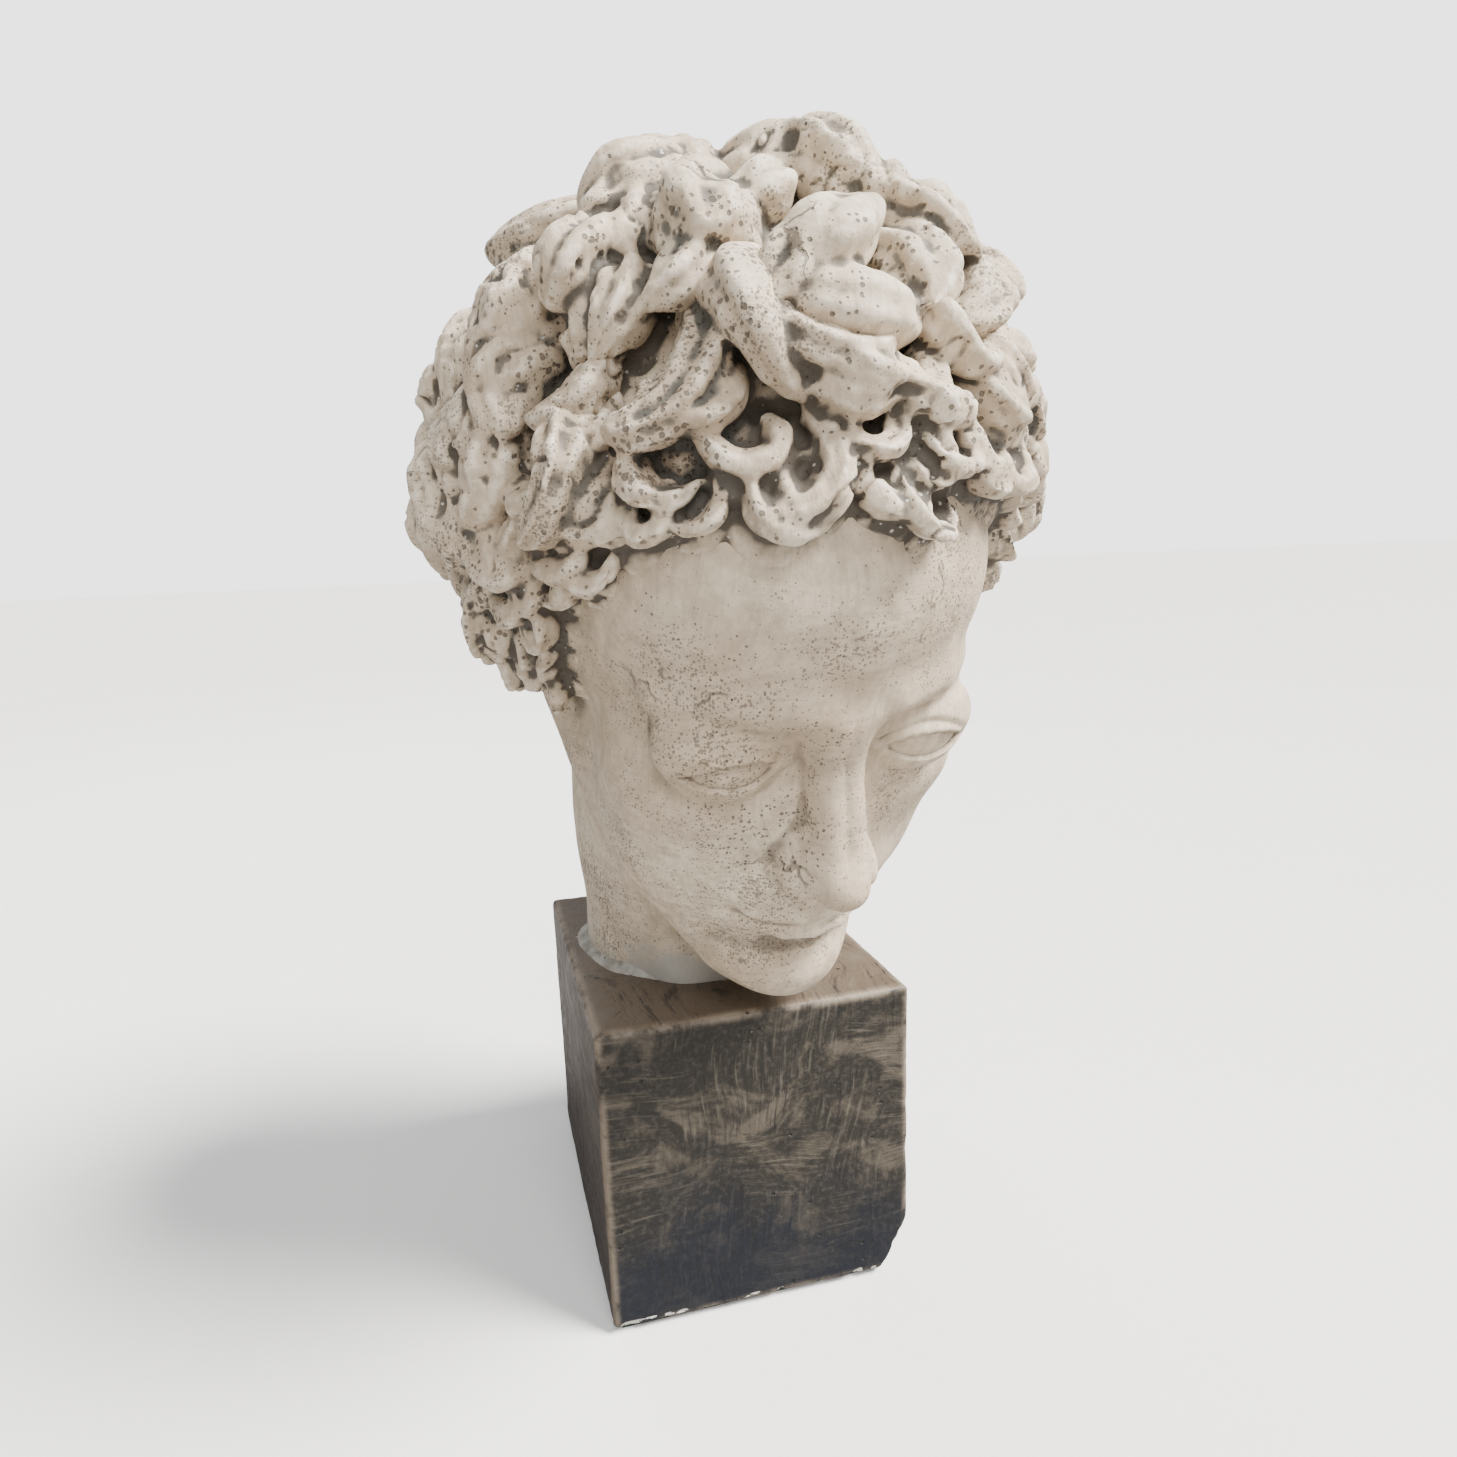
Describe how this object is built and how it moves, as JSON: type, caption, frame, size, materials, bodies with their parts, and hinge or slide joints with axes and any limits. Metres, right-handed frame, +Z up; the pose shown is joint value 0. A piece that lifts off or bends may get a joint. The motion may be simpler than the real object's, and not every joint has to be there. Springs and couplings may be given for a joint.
{
  "type": "plaster bust on a block",
  "caption": "Hollow plaster head with a cap of curls, bowed on a round neck and clamped to a square-cut block.",
  "frame": {"origin": "centre of the block's footprint, on the underside of the felt", "axes": "+Z up; the front of the block and the bowed face look towards -Y; +X is the viewer's right when facing the front"},
  "size_m": [0.2056, 0.2665, 0.4412],
  "materials": {
    "patinated_plaster": "aged plaster, toned and dusty, matt",
    "raw_plaster": "bare cast plaster, matt",
    "block_patina": "dark painted patina over plaster, rubbed at the edges",
    "steel": "zinc plated",
    "felt": "pressed felt"
  },
  "bodies": {
    "root": {"head_cast": "patinated_plaster", "neck_plug": "raw_plaster", "bedding_fillet": "raw_plaster", "plinth_block": "block_patina", "armature_rod": "steel", "upper_washer": "steel", "upper_nut": "steel", "lower_washer": "steel", "lower_nut": "steel", "base_felt": "felt"}
  },
  "joints": []
}
